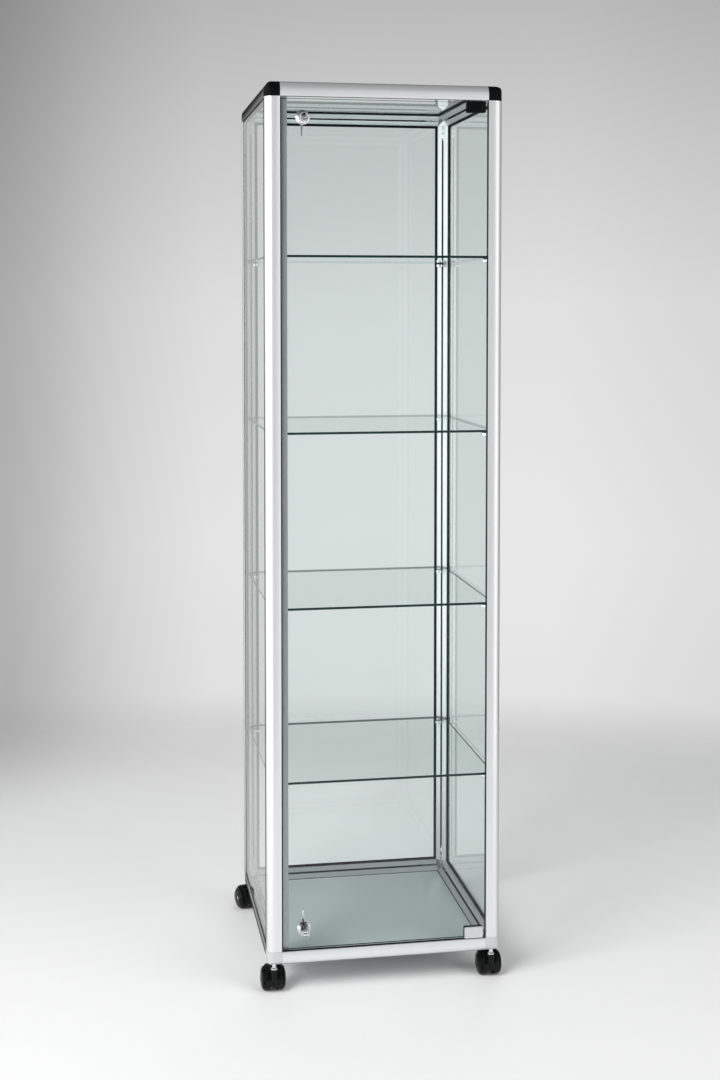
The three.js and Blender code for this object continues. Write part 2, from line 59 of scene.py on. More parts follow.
# Aluminium profile, drawn from its outer corner with u and v running inwards.
PROFILE = 31
CORNER_RADIUS = 17.5
LIP = 2.5
GROOVE_FLOOR = 20
GROOVE_INNER = 9.8
INNER_LIP_END = 11.4
SKIN = 2
CORE_END = 18.2
CORE_DIAGONAL = 12.2
SLOT_FACE = (PROFILE + INNER_LIP_END) / 2
SLOT_MOUTH = 4.6
SLOT_LIP = 1.7
SLOT_WIDTH = 10.4
SLOT_DEPTH = 5
STOP_START, STOP_END = 20.3, 46
STOP_FRONT, STOP_BACK = 7.4, 9.8
SEAL_START, SEAL_END = PROFILE + 0.3, PROFILE + 2.7
SEAL_FRONT, SEAL_BACK = STOP_FRONT - 0.6, STOP_FRONT - 0.05

# Connectors inside the corner blocks.
ARM_WIDTH = 9.6
ARM_DEPTH = 4.2
ARM_REACH = 66
HUB_START = 12
GRUB_AT = 49
GRUB_RADIUS = 2
GRUB_SOCKET = 1.1
GRUB_LENGTH = 1.6
GRUB_SUNK = 1.4
HUB_PLAY = 0.15
RIB_PLAY = 0.25
RIB_REACH = 60
STEM_HOLE = 4.3
CASTOR_INSET = 16

# Glass, seals and shelf clips.
GLASS = 5
ARRIS = 0.4
SHELF_CORNER = 17.2
GASKET_OUTER, GASKET_INNER = 24, 37
GASKET_FRONT, GASKET_BACK = 7.95, 9.75
BASE_SEAL = (31.1, 32.8)
BASE_SEAL_DEPTH = (9.25, 10.6)
BASE_INSET = 33
BASE_STEP = 0.85
CLIP_WIDTH = 16
CLIP_REACH = 20
CLIP_NECK = 3.8
CLIP_HEAD = 9.4
CLIP_HEAD_BACK = -6.2
CLIP_HEAD_FRONT = -2.2
PAD_THICKNESS = 1.2
PAD_RADIUS = 5.5
CLIP_SCREW_RADIUS, CLIP_SCREW_SOCKET = 2.6, 1.3

# Pivot clamps and locks, with depths measured back from the frame's front face.
DOOR_DEPTH = 1.5
CLAMP_PLATE_FRONT = -2
CLAMP_PLATE_BACK = 11
CLAMP_WEB = 2.1
CLAMP_SCREW_RADIUS, CLAMP_SCREW_SOCKET = 3.6, 1.5
CLAMP_SCREW_OFFSET = 9
CLAMP_SCREW_START = 10.8
PIVOT_X = 208
PIVOT_DEPTH = 5.5
PIN_RADIUS = 2.5
PIN_REACH = 10
PACKING = 0.3
LOCK_FRONT = -28
LOCK_HOLE = 10
FLANGE_RADIUS = 15
BARREL_RADIUS = 9
BORE_RADIUS = 6.3
PLUG_RADIUS = 6
NUT_BACK = 9.8
NUT_RADIUS = 13
CAM_HUB_RADIUS = 7.9
CAM_FRONT, CAM_BACK = 11, 15
CAM_LENGTH = 37
CAM_WIDTH = 3.6
KEYWAY_WIDTH, KEYWAY_HEIGHT, KEYWAY_DEPTH = 9, 2.4, 4

# Castors: the swivel axis is at the castor's own origin and the wheels trail towards its +Y.
WHEEL_RADIUS = 25
WHEEL_HALF_TRACK = 26.5
WHEEL_INNER = 8
CASTOR_TRAIL = 22
AXLE_RADIUS = 3.9
HOOD_INNER, HOOD_OUTER = 26, 28.5
HOOD_WIDTH = 34
HOOD_BACK, HOOD_FRONT = math.radians(10), math.radians(200)
TYRE_INNER = 17
WEB_HALF = 5
BOSS_RADIUS = 7.5
BOSS_TOP = 52
COLLAR_RADIUS = 7
COLLAR_BOTTOM, COLLAR_TOP = 31, 54.5
STEM_RADIUS = 4
STEM_TOP = 74

SIDES = {
    "front_left": (-1, -1),
    "front_right": (1, -1),
    "back_left": (-1, 1),
    "back_right": (1, 1),
}


def box_mm(node):
    """A CAD node's lowest and highest corner, in millimetres."""
    low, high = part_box(node)
    return low / MM, high / MM


FRAME_LOW = box_mm("corner_bottom_front_left")[0]
FRAME_HIGH = box_mm("corner_top_back_right")[1]
FRONT = FRAME_LOW.y


# Outlines and solids.
def rounded(points):
    """A closed outline of (x, y) or (x, y, radius) points, with those corners turned into arcs."""
    outline = []
    for i, point in enumerate(points):
        corner = Vector(point[:2])
        if len(point) == 2:
            outline.append(corner)
            continue
        radius = point[2]
        before = (Vector(points[i - 1][:2]) - corner).normalized()
        after = (Vector(points[(i + 1) % len(points)][:2]) - corner).normalized()
        half = math.acos(max(-1, min(1, before.dot(after)))) / 2
        reach = radius / math.tan(half)
        centre = corner + (before + after).normalized() * (radius / math.sin(half))
        start = corner + before * reach - centre
        end = corner + after * reach - centre
        first = math.atan2(start.y, start.x)
        sweep = (math.atan2(end.y, end.x) - first + math.pi) % (2 * math.pi) - math.pi
        steps = max(2, round((2 + 0.7 * radius) * abs(sweep) / (math.pi / 2)))
        for step in range(steps + 1):
            angle = first + sweep * step / steps
            outline.append(centre + radius * Vector((math.cos(angle), math.sin(angle))))
    return outline


def circle(radius, steps=32, centre=(0, 0), clockwise=False):
    turn = -1 if clockwise else 1
    angles = [turn * 2 * math.pi * step / steps for step in range(steps)]
    return [Vector(centre) + radius * Vector((math.cos(a), math.sin(a))) for a in angles]


def rectangle(low, high, radius=0.5):
    return rounded([(low[0], low[1], radius), (high[0], low[1], radius),
                    (high[0], high[1], radius), (low[0], high[1], radius)])


def inset(outline, distance):
    """The outline moved to its left, which is into the material."""
    moved = []
    for i, point in enumerate(outline):
        behind = (point - outline[i - 1]).normalized()
        ahead = (outline[(i + 1) % len(outline)] - point).normalized()
        normal = Vector((-behind.y - ahead.y, behind.x + ahead.x)).normalized()
        share = normal.dot(Vector((-ahead.y, ahead.x)))
        moved.append(point + normal * distance / max(share, 0.4))
    return moved


def close_end(solid, loops):
    """Fills the end of a solid between its outer loop of vertices and the loops of its holes."""
    corners = [vertex for loop in loops for vertex in loop]
    for triangle in tessellate_polygon([[vertex.co for vertex in loop] for loop in loops]):
        if len(set(triangle)) == 3:
            solid.faces.new([corners[i] for i in triangle])


def bridge(solid, loop, other, closed=True):
    """Joins two rows of vertices with quads."""
    for i in range(len(loop) if closed else len(loop) - 1):
        j = (i + 1) % len(loop)
        solid.faces.new((loop[i], loop[j], other[j], other[i]))


def slab(outlines, low, high, rim=0.0, steps=2):
    """A plate between two heights with rounded rims. Its holes are outlines that run clockwise."""
    turns = [math.pi / 2 * step / steps for step in range(steps + 1)] if rim else [math.pi / 2]
    lower = [(rim * (1 - math.sin(turn)), low + rim * (1 - math.cos(turn))) for turn in turns]
    upper = [(distance, low + high - height) for distance, height in reversed(lower)]
    solid = bmesh.new()
    layers = []
    for distance, height in lower + upper:
        layer = [inset(outline, distance) if distance else outline for outline in outlines]
        layers.append([[solid.verts.new((*point, height)) for point in loop] for loop in layer])
    for layer, above in zip(layers, layers[1:]):
        for loop, other in zip(layer, above):
            bridge(solid, loop, other)
    close_end(solid, layers[0])
    close_end(solid, layers[-1])
    return solid


def revolve(outline, steps=40, first=0.0, last=2 * math.pi):
    """Turns a closed outline of (radius, height) points about Z, all the way round or in part."""
    whole = last - first > 2 * math.pi - 1e-6
    solid = bmesh.new()
    rows = []
    for step in range(steps if whole else steps + 1):
        angle = first + (last - first) * step / steps
        across = Vector((math.cos(angle), math.sin(angle), 0))
        rows.append([solid.verts.new(across * point[0] + Z * point[1]) for point in outline])
    for row, following in zip(rows, rows[1:] + (rows[:1] if whole else [])):
        bridge(solid, row, following)
    if not whole:
        close_end(solid, [rows[0]])
        close_end(solid, [rows[-1]])
    bmesh.ops.remove_doubles(solid, verts=solid.verts, dist=1e-5)
    return solid


def cuboid(low, high):
    return slab([rectangle(low[:2], high[:2], 0.3)], low[2], high[2])


def moved(solid, matrix):
    solid.transform(matrix)
    return solid


def gathered(solids):
    """Several solids in one mesh."""
    whole = bmesh.new()
    for solid in solids:
        mesh = bpy.data.meshes.new("part")
        solid.to_mesh(mesh)
        solid.free()
        whole.from_mesh(mesh)
        bpy.data.meshes.remove(mesh)
    return whole


def combined(base, others, operation):
    """A solid cut by, joined to or crossed with others."""
    made = []
    for solid in [base, *others]:
        bmesh.ops.recalc_face_normals(solid, faces=solid.faces)
        mesh = bpy.data.meshes.new("part")
        solid.to_mesh(mesh)
        solid.free()
        helper = bpy.data.objects.new("part", mesh)
        bpy.context.scene.collection.objects.link(helper)
        made.append(helper)
    for helper in made[1:]:
        modifier = made[0].modifiers.new("combine", "BOOLEAN")
        modifier.solver = "EXACT"
        modifier.operation = operation
        modifier.object = helper
    result = bmesh.new()
    result.from_object(made[0], bpy.context.evaluated_depsgraph_get())
    for helper in made:
        bpy.data.meshes.remove(helper.data)
    return result


def along(origin, u, v, w):
    """The matrix that lays a solid's x, y and z along three directions, from an origin."""
    matrix = Matrix((u, v, w)).transposed().to_4x4()
    matrix.translation = origin
    return matrix


def piece(name, solid, materials, body, replaces=(), place=None, crease=32):
    """Stores a solid as one visible piece that rides on a body. With place, it keeps its own axes."""
    bmesh.ops.remove_doubles(solid, verts=solid.verts, dist=1e-5)
    bmesh.ops.recalc_face_normals(solid, faces=solid.faces)
    solid.transform(Matrix.Scale(MM, 4))
    mesh = bpy.data.meshes.new(name)
    solid.to_mesh(mesh)
    solid.free()
    mesh.shade_smooth()
    mesh.set_sharp_from_angle(angle=math.radians(crease))
    for material in materials:
        mesh.materials.append(material)
    made = bpy.data.objects.new(name, mesh)
    bpy.context.scene.collection.objects.link(made)
    if place is not None:
        made.matrix_world = Matrix.Translation(place.translation * MM) @ place.to_3x3().to_4x4()
    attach(made, body)
    if replaces:
        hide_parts(*replaces)
    return made


# Materials.
def new_material(name, color, roughness, metallic=0.0, **sockets):
    """A Principled material with plain values, and its node tree and shader."""
    material = bpy.data.materials.new(name)
    material.use_nodes = True
    tree = material.node_tree
    shader = tree.nodes["Principled BSDF"]
    shader.inputs["Base Color"].default_value = (*color, 1)
    shader.inputs["Roughness"].default_value = roughness
    shader.inputs["Metallic"].default_value = metallic
    for socket, value in sockets.items():
        shader.inputs[socket.replace("_", " ")].default_value = value
    return material, tree, shader


def noise(tree, scale, stretch=(1, 1, 1), detail=2.0):
    """Noise in the piece's own coordinates, with scale in features per metre."""
    coordinates = tree.nodes.new("ShaderNodeTexCoord")
    mapping = tree.nodes.new("ShaderNodeMapping")
    mapping.inputs["Scale"].default_value = stretch
    texture = tree.nodes.new("ShaderNodeTexNoise")
    texture.inputs["Scale"].default_value = scale
    texture.inputs["Detail"].default_value = detail
    tree.links.new(coordinates.outputs["Object"], mapping.inputs["Vector"])
    tree.links.new(mapping.outputs["Vector"], texture.inputs["Vector"])
    return texture.outputs["Fac"]


def spread(tree, value, low, high):
    """Noise spread over a range of values."""
    ranged = tree.nodes.new("ShaderNodeMapRange")
    ranged.inputs["From Min"].default_value = 0.3
    ranged.inputs["From Max"].default_value = 0.7
    ranged.inputs["To Min"].default_value = low
    ranged.inputs["To Max"].default_value = high
    tree.links.new(value, ranged.inputs["Value"])
    return ranged.outputs["Result"]


def tinted(tree, value, first, second):
    """Noise spread between two colours."""
    ramp = tree.nodes.new("ShaderNodeValToRGB")
    ramp.color_ramp.elements[0].position = 0.32
    ramp.color_ramp.elements[1].position = 0.68
    ramp.color_ramp.elements[0].color = (*first, 1)
    ramp.color_ramp.elements[1].color = (*second, 1)
    tree.links.new(value, ramp.inputs["Fac"])
    return ramp.outputs["Color"]


def add_bump(tree, shader, height, distance, strength=0.5):
    bump = tree.nodes.new("ShaderNodeBump")
    bump.inputs["Strength"].default_value = strength
    bump.inputs["Distance"].default_value = distance
    tree.links.new(height, bump.inputs["Height"])
    tree.links.new(bump.outputs["Normal"], shader.inputs["Normal"])


def anodised_aluminium(name, brightness):
    """Satin anodising: faint extrusion lines, a slow change of gloss, and painted shade that turns the colour
    nearly black where the surface is seen edge on.
    """
    color = (brightness - 0.01, brightness, brightness + 0.01)
    material, tree, shader = new_material(name, color, 0.42, 0.8, Specular_Tint=(0.05, 0.05, 0.05, 1))
    lines = noise(tree, 900, (1, 1, 0.004), 3)
    clouds = noise(tree, 9, (1, 1, 0.3), 2)
    tree.links.new(spread(tree, clouds, 0.39, 0.45), shader.inputs["Roughness"])
    lined = tinted(tree, lines, [channel - 0.03 for channel in color], color)
    # Painted shade: the Layer Weight facing darkens the base colour towards near black at grazing view
    # angles.
    angle = tree.nodes.new("ShaderNodeLayerWeight")
    edge_shade_mask = tree.nodes.new("ShaderNodeMapRange")
    edge_shade_mask.inputs["From Min"].default_value = 0.83
    edge_shade_mask.inputs["From Max"].default_value = 0.9
    painted_edge_shade = tree.nodes.new("ShaderNodeMix")
    painted_edge_shade.data_type = "RGBA"
    painted_edge_shade.inputs["B"].default_value = (0.012, 0.013, 0.013, 1)
    tree.links.new(angle.outputs["Facing"], edge_shade_mask.inputs["Value"])
    tree.links.new(edge_shade_mask.outputs["Result"], painted_edge_shade.inputs["Factor"])
    tree.links.new(lined, painted_edge_shade.inputs["A"])
    tree.links.new(painted_edge_shade.outputs["Result"], shader.inputs["Base Color"])
    add_bump(tree, shader, lines, 0.00002, 0.12)
    return material


def silver_casting():
    """Painted die-casting: finer grain than the profiles and less of a mirror."""
    material, tree, shader = new_material("silver_casting", (0.66, 0.68, 0.69), 0.38, 0.6)
    grain = noise(tree, 1400, detail=3)
    grained = tinted(tree, grain, (0.62, 0.64, 0.65), (0.7, 0.72, 0.73))
    tree.links.new(grained, shader.inputs["Base Color"])
    tree.links.new(spread(tree, noise(tree, 60), 0.33, 0.44), shader.inputs["Roughness"])
    add_bump(tree, shader, grain, 0.00008, 0.5)
    return material


def moulded_black(name, roughness, grain_size, shine):
    """Black moulded plastic with a fine spark-eroded grain."""
    material, tree, shader = new_material(name, (0.003, 0.0032, 0.0034), roughness, Specular_IOR_Level=shine)
    grain = noise(tree, 1 / (grain_size * MM), detail=3)
    tree.links.new(tinted(tree, noise(tree, 40), (0.002, 0.0022, 0.0024), (0.004, 0.0043, 0.0046)),
                   shader.inputs["Base Color"])
    gloss = spread(tree, noise(tree, 90), roughness - 0.05, roughness + 0.07)
    tree.links.new(gloss, shader.inputs["Roughness"])
    add_bump(tree, shader, grain, 0.00006, 0.4)
    return material


def rubber():
    material, tree, shader = new_material("black_rubber", (0.003, 0.005, 0.005), 0.6, Specular_IOR_Level=0.12)
    tree.links.new(spread(tree, noise(tree, 300), 0.5, 0.7), shader.inputs["Roughness"])
    add_bump(tree, shader, noise(tree, 1500), 0.00008, 0.5)
    return material


def chrome(name="polished_chrome", color=(0.8, 0.81, 0.82), roughness=0.04):
    """Polished plate with faint wipe marks."""
    material, tree, shader = new_material(name, color, roughness, 1.0)
    marks = noise(tree, 700, (1, 0.2, 1), 3)
    tree.links.new(spread(tree, marks, roughness * 0.6, roughness * 1.7), shader.inputs["Roughness"])
    add_bump(tree, shader, noise(tree, 250), 0.00004, 0.2)
    return material


def laminate():
    """Silver-grey laminate: a fine speckle under a satin surface."""
    material, tree, shader = new_material("grey_laminate", (0.45, 0.5, 0.495), 0.34)
    speckle = noise(tree, 1100, detail=4)
    speckled = tinted(tree, speckle, (0.43, 0.48, 0.475), (0.47, 0.52, 0.515))
    tree.links.new(speckled, shader.inputs["Base Color"])
    tree.links.new(spread(tree, noise(tree, 14), 0.3, 0.4), shader.inputs["Roughness"])
    add_bump(tree, shader, speckle, 0.00004, 0.3)
    return material


def glass_face(name, tint):
    """The broad face of a pane. What comes in is partly mirrored; each face takes a little colour."""
    material = bpy.data.materials.new(name)
    material.use_nodes = True
    tree = material.node_tree
    tree.nodes.remove(tree.nodes["Principled BSDF"])
    through = tree.nodes.new("ShaderNodeBsdfTransparent")
    mirror = tree.nodes.new("ShaderNodeBsdfGlossy")
    mirror.inputs["Color"].default_value = (0.97, 1, 0.99, 1)
    mirror.inputs["Roughness"].default_value = 0
    darker = tuple(channel - 0.006 for channel in tint)
    tree.links.new(tinted(tree, noise(tree, 3), darker, tint), through.inputs["Color"])
    fresnel = tree.nodes.new("ShaderNodeFresnel")
    fresnel.inputs["IOR"].default_value = 1.52
    geometry = tree.nodes.new("ShaderNodeNewGeometry")
    entering = tree.nodes.new("ShaderNodeMath")
    entering.operation = "SUBTRACT"
    entering.inputs[0].default_value = 1
    share = tree.nodes.new("ShaderNodeMath")
    share.operation = "MULTIPLY"
    mix = tree.nodes.new("ShaderNodeMixShader")
    tree.links.new(geometry.outputs["Backfacing"], entering.inputs[1])
    tree.links.new(entering.outputs[0], share.inputs[0])
    tree.links.new(fresnel.outputs[0], share.inputs[1])
    tree.links.new(share.outputs[0], mix.inputs["Fac"])
    tree.links.new(through.outputs[0], mix.inputs[1])
    tree.links.new(mirror.outputs[0], mix.inputs[2])
    tree.links.new(mix.outputs[0], tree.nodes["Material Output"].inputs["Surface"])
    return material


def glass_edge():
    """A polished edge, dark green because it is seen through the length of the pane."""
    material, tree, shader = new_material("glass_edge", (0.002, 0.014, 0.012), 0.12, Specular_IOR_Level=0.1)
    streaks = noise(tree, 120, (1, 1, 1), 3)
    streaked = tinted(tree, streaks, (0.001, 0.009, 0.008), (0.005, 0.03, 0.026))
    tree.links.new(streaked, shader.inputs["Base Color"])
    tree.links.new(spread(tree, noise(tree, 500), 0.08, 0.2), shader.inputs["Roughness"])
    return material


ALUMINIUM = anodised_aluminium("anodised_aluminium", 0.89)
# The door stop's aluminium at less than half the profiles' brightness: painted shade for the strip lying in
# the shade of the post and door.
STRIP_PAINTED_SHADE = anodised_aluminium("door_stop_painted_shade", 0.42)
# A near-black copy of the aluminium for the insides of slots and grooves: painted shade for the recesses.
PAINTED_GROOVE_SHADE = anodised_aluminium("groove_painted_shade", 0.09)
CASTING = silver_casting()
BLACK = moulded_black("black_moulding", 0.38, 0.5, 0.05)
GLOSS_BLACK = moulded_black("gloss_black_moulding", 0.12, 0.8, 0.18)
WHEEL_BLACK = moulded_black("wheel_nylon", 0.26, 0.6, 0.1)
RUBBER = rubber()
CHROME = chrome()
ZINC = chrome("bright_zinc", (0.78, 0.79, 0.8), 0.16)
DARK_STEEL = chrome("blackened_steel", (0.05, 0.05, 0.055), 0.3)
LAMINATE = laminate()
CLEAR = glass_face("clear_glass_face", (0.974, 0.993, 0.989))
SHELF = glass_face("shelf_glass_face", (0.958, 0.984, 0.973))
EDGE = glass_edge()


# The frame.
def slot_point(across, out):
    """A point of the profile's slotted face: across runs along the face and out away from it."""
    return SLOT_FACE + (across + out) / math.sqrt(2), SLOT_FACE + (out - across) / math.sqrt(2)


def swapped(points):
    return [(point[1], point[0], *point[2:]) for point in reversed(points)]


def profile_outlines():
    side = [(PROFILE, 0, 0.5), (PROFILE, LIP, 0.4), (GROOVE_FLOOR, LIP), (GROOVE_FLOOR, GROOVE_INNER),
            (PROFILE, GROOVE_INNER, 0.3), (PROFILE, INNER_LIP_END, 0.6)]
    slot = [(*slot_point(SLOT_MOUTH / 2, 0), 0.4), slot_point(SLOT_MOUTH / 2, -SLOT_LIP),
            slot_point(SLOT_WIDTH / 2, -SLOT_LIP), slot_point(SLOT_WIDTH / 2, -SLOT_LIP - SLOT_DEPTH)]
    outer = rounded([(0, 0, CORNER_RADIUS), *side, *slot, *swapped(slot), *swapped(side)])
    core = [(SKIN, SKIN, CORNER_RADIUS - SKIN), (CORE_END, SKIN), (CORE_END, CORE_DIAGONAL),
            (CORE_DIAGONAL, CORE_END), (SKIN, CORE_END)]
    return [outer, list(reversed(rounded(core)))]


def is_recessed(point):
    """Whether a point of the profile's surface is inside its T-slot or one of its grooves."""
    across, out = (point.x - point.y) / math.sqrt(2), (point.x + point.y - 2 * SLOT_FACE) / math.sqrt(2)
    depth, reach = sorted((point.x, point.y))
    in_slot = abs(across) < SLOT_WIDTH / 2 + 0.1 and -SLOT_LIP - SLOT_DEPTH - 0.1 < out < -0.3
    return in_slot or (LIP - 0.1 < depth < GROOVE_INNER + 0.1 and reach > GROOVE_FLOOR - 0.1)


def frame_corner(x, y, level):
    """The outer corner of the frame on that side, at the bottom or the top."""
    return Vector((FRAME_HIGH.x * x, FRAME_HIGH.y * y, (FRAME_LOW if level == "bottom" else FRAME_HIGH).z))


def upright(first, second, third):
    """Two directions in the order that makes the third one their cross product."""
    return (first, second) if first.cross(second).dot(third) > 0 else (second, first)


def add_profile(node, corner, first, second, direction):
    """One post or rail: its section is drawn from the frame's outer edge that the corner lies on."""
    low, high = box_mm(node)
    start, end = low.dot(direction), high.dot(direction)
    u, v = upright(first, second, direction)
    origin = corner + direction * (start - corner.dot(direction))
    bar = slab(profile_outlines(), 0, end - start)
    # Faces inside the T-slot and the grooves get the near-black aluminium, which is painted shade.
    for face in bar.faces:
        face.material_index = 1 if is_recessed(face.calc_center_median()) else 0
    place = along(origin, u, v, direction)
    piece(f"{node}_profile", bar, [ALUMINIUM, PAINTED_GROOVE_SHADE], "cabinet", [node], place)


def add_profiles():
    for name, (x, y) in SIDES.items():
        add_profile(f"post_{name}", frame_corner(x, y, "bottom"), -X * x, -Y * y, Z)
    for level, inwards in (("bottom", Z), ("top", -Z)):
        for side, y in (("front", -1), ("back", 1)):
            add_profile(f"{level}_rail_{side}", frame_corner(-1, y, level), -Y * y, inwards, X)
        for side, x in (("left", -1), ("right", 1)):
            add_profile(f"{level}_rail_{side}", frame_corner(x, -1, level), -X * x, inwards, Y)


def add_door_stop():
    """A strip pressed into the front left post's groove, which the door closes against."""
    low, high = box_mm("post_front_left")
    outline = rounded([(STOP_START, STOP_FRONT, 0.3), (STOP_END, STOP_FRONT, 0.8),
                       (STOP_END, STOP_BACK, 0.8), (STOP_START, STOP_BACK, 0.3)])
    strip = slab([outline], low.z + 0.5, high.z - 0.5)
    corner = Vector((FRAME_LOW.x, FRONT, 0))
    moved(strip, along(corner, X, Y, Z))
    # The strip's darker aluminium is painted shade.
    piece("door_stop_strip", strip, [STRIP_PAINTED_SHADE], "cabinet")
    bead = cuboid((SEAL_START, SEAL_FRONT, low.z + 1), (SEAL_END, SEAL_BACK, high.z - 1))
    piece("door_stop_seal", moved(bead, along(corner, X, Y, Z)), [RUBBER], "cabinet")


# The three ways of turning a corner's axes into each other.
TURNS = [Matrix.Identity(4), along(Vector(), Y, Z, X), along(Vector(), Z, X, Y)]


def corner_solid():
    """A cube with rounded outer edges, cut back inside to where the slotted faces would meet."""
    square = [(0, 0, CORNER_RADIUS), (PROFILE, 0), (PROFILE, PROFILE), (0, PROFILE)]
    cut = [(0, 0), (PROFILE, 0), (PROFILE, INNER_LIP_END), (INNER_LIP_END, PROFILE), (0, PROFILE)]
    first, *others = [moved(slab([rounded(square)], 0, PROFILE), turn) for turn in TURNS]
    cube = combined(first, others, "INTERSECT")
    first, *others = [moved(slab([rounded(cut)], 0, PROFILE), turn) for turn in TURNS]
    return combined(cube, [combined(first, others, "UNION")], "INTERSECT")


def corner_cap(with_stem_hole):
    """The outside of a corner block, with room for its connector and for the panels' corners."""
    pocket_low = (GROOVE_FLOOR, GROOVE_FLOOR, LIP)
    pocket_high = (PROFILE + 1, PROFILE + 1, GROOVE_INNER)
    cuts = [moved(cuboid(pocket_low, pocket_high), turn) for turn in TURNS]
    cuts.append(cuboid((HUB_START,) * 3, (PROFILE + 1,) * 3))
    if with_stem_hole:
        hole = circle(STEM_HOLE, centre=(CASTOR_INSET, CASTOR_INSET))
        cuts.append(slab([hole], -1, HUB_START + 0.2))
    return combined(corner_solid(), cuts, "DIFFERENCE")


def connector():
    """The cast hub behind a corner block and its three arms. Each arm slides into a profile's slot, and
    its rib fills the slot's mouth."""
    room = cuboid((HUB_START + HUB_PLAY,) * 3, (PROFILE - HUB_PLAY,) * 3)
    hub = combined(corner_solid(), [room], "INTERSECT")
    middle, _ = slot_point(0, -SLOT_LIP - SLOT_DEPTH / 2)
    bar = rectangle((-ARM_WIDTH / 2, -ARM_DEPTH / 2), (ARM_WIDTH / 2, ARM_DEPTH / 2), 0.6)
    turned = Matrix.Translation((middle, middle, 0)) @ Matrix.Rotation(-math.pi / 4, 4, "Z")
    half, face = SLOT_MOUTH / 2 - RIB_PLAY, SLOT_LIP + SLOT_DEPTH / 2
    rib = rectangle((-half, ARM_DEPTH / 2 - 0.3), (half, face - 0.1), 0.3)
    arms = [moved(slab([bar], middle, ARM_REACH, 0.6), turn @ turned) for turn in TURNS]
    ribs = [moved(slab([rib], middle, RIB_REACH, 0.3), turn @ turned) for turn in TURNS]
    return combined(hub, arms + ribs, "UNION")


def grub_screws():
    """The hexagon-socket screw on each arm, showing in the slot's mouth."""
    low, _ = slot_point(0, -GRUB_SUNK)
    facing = (X + Y).normalized()
    place = along(Vector((low, low, GRUB_AT)), Z, facing.cross(Z), facing)
    section = [circle(GRUB_RADIUS, 20), list(reversed(circle(GRUB_SOCKET, 6)))]
    return [moved(slab(section, 0, GRUB_LENGTH, 0.2), turn @ place) for turn in TURNS]


def add_corners():
    for level in ("bottom", "top"):
        for name, (x, y) in SIDES.items():
            node = f"corner_{level}_{name}"
            direction = Z if level == "bottom" else -Z
            u, v = upright(-X * x, -Y * y, direction)
            place = along(frame_corner(x, y, level), u, v, direction)
            finish, slot = (CASTING, "corner_silver") if level == "bottom" else (BLACK, "black_plastic")
            cap = moved(corner_cap(level == "bottom"), place)
            piece(f"{node}_cap", cap, [finish], "cabinet", [node])
            piece(f"{node}_connector", moved(connector(), place), [ZINC], "cabinet")
            screws = moved(gathered(grub_screws()), place)
            piece(f"{node}_screws", screws, [BLACK], "cabinet")


# Panels.
def pane(outlines, thickness):
    """A sheet of glass with ground arrises, whose edges take the second material."""
    sheet = slab(outlines, 0, thickness, ARRIS, 1)
    sheet.normal_update()
    for face in sheet.faces:
        face.material_index = 0 if abs(face.normal.z) > 0.95 else 1
    return sheet


def add_wall_glass(node, normal, across, up):
    """A wall or roof pane that fills its CAD box."""
    low, high = box_mm(node)
    size = high - low
    sheet = pane([rectangle((0, 0), (size.dot(across), size.dot(up)), 1)], GLASS)
    piece(f"{node}_pane", moved(sheet, along(low, across, up, normal)), [CLEAR, EDGE],
          "cabinet", [node])


def add_gasket(name, corner, across, up, inwards, width, height, edge=(GASKET_OUTER, GASKET_INNER),
               depth=(GASKET_FRONT, GASKET_BACK)):
    """A rubber ring wedged between a panel's inner face and its grooves, drawn from an outer corner."""
    outer = rectangle((edge[0], edge[0]), (width - edge[0], height - edge[0]), 1)
    inner = rectangle((edge[1], edge[1]), (width - edge[1], height - edge[1]), 1)
    ring = slab([outer, list(reversed(inner))], *depth, 0.4)
    piece(name, moved(ring, along(corner, across, up, inwards)), [RUBBER], "cabinet")


def add_panels():
    add_wall_glass("glass_left", X, Y, Z)
    add_wall_glass("glass_right", X, Y, Z)
    add_wall_glass("glass_back", Y, Z, X)
    add_wall_glass("glass_top", Z, X, Y)
    size = FRAME_HIGH - FRAME_LOW
    low, high = FRAME_LOW, FRAME_HIGH
    add_gasket("gasket_left", low, Y, Z, X, size.y, size.z)
    add_gasket("gasket_right", Vector((high.x, low.y, low.z)), Y, Z, -X, size.y, size.z)
    add_gasket("gasket_back", Vector((low.x, high.y, low.z)), X, Z, -Y, size.x, size.z)
    add_gasket("gasket_top", Vector((low.x, low.y, high.z)), X, Y, -Z, size.x, size.y)
    add_gasket("seal_base", low, X, Y, Z, size.x, size.y, edge=BASE_SEAL, depth=BASE_SEAL_DEPTH)
    add_base()


def add_base():
    """The base board: a rim in the grooves and a slightly raised top with a softened edge."""
    low, high = box_mm("base_panel")
    rim = slab([rectangle(low[:2], high[:2], 1)], low.z, high.z - BASE_STEP, 0.4)
    half = FRAME_HIGH.x - BASE_INSET
    top = slab([rectangle((-half, -half), (half, half), 2)], high.z - 1.5, high.z, 0.3)
    board = combined(rim, [top], "UNION")
    piece("base_panel_board", board, [LAMINATE], "cabinet", ["base_panel"])


# Shelves.
def clip_outline():
    """A clip from above, with the post's slotted face at y = 0: its foot, neck and round nose."""
    nose = CLIP_WIDTH / 2
    return rounded([
        (-CLIP_HEAD / 2, CLIP_HEAD_BACK, 0.5), (CLIP_HEAD / 2, CLIP_HEAD_BACK, 0.5),
        (CLIP_HEAD / 2, CLIP_HEAD_FRONT, 0.5), (CLIP_NECK / 2, CLIP_HEAD_FRONT), (CLIP_NECK / 2, 0.3),
        (nose, 0.3, 0.6), (nose, CLIP_REACH, nose - 0.01), (-nose, CLIP_REACH, nose - 0.01),
        (-nose, 0.3, 0.6), (-CLIP_NECK / 2, 0.3), (-CLIP_NECK / 2, CLIP_HEAD_FRONT),
        (-CLIP_HEAD / 2, CLIP_HEAD_FRONT, 0.5),
    ])


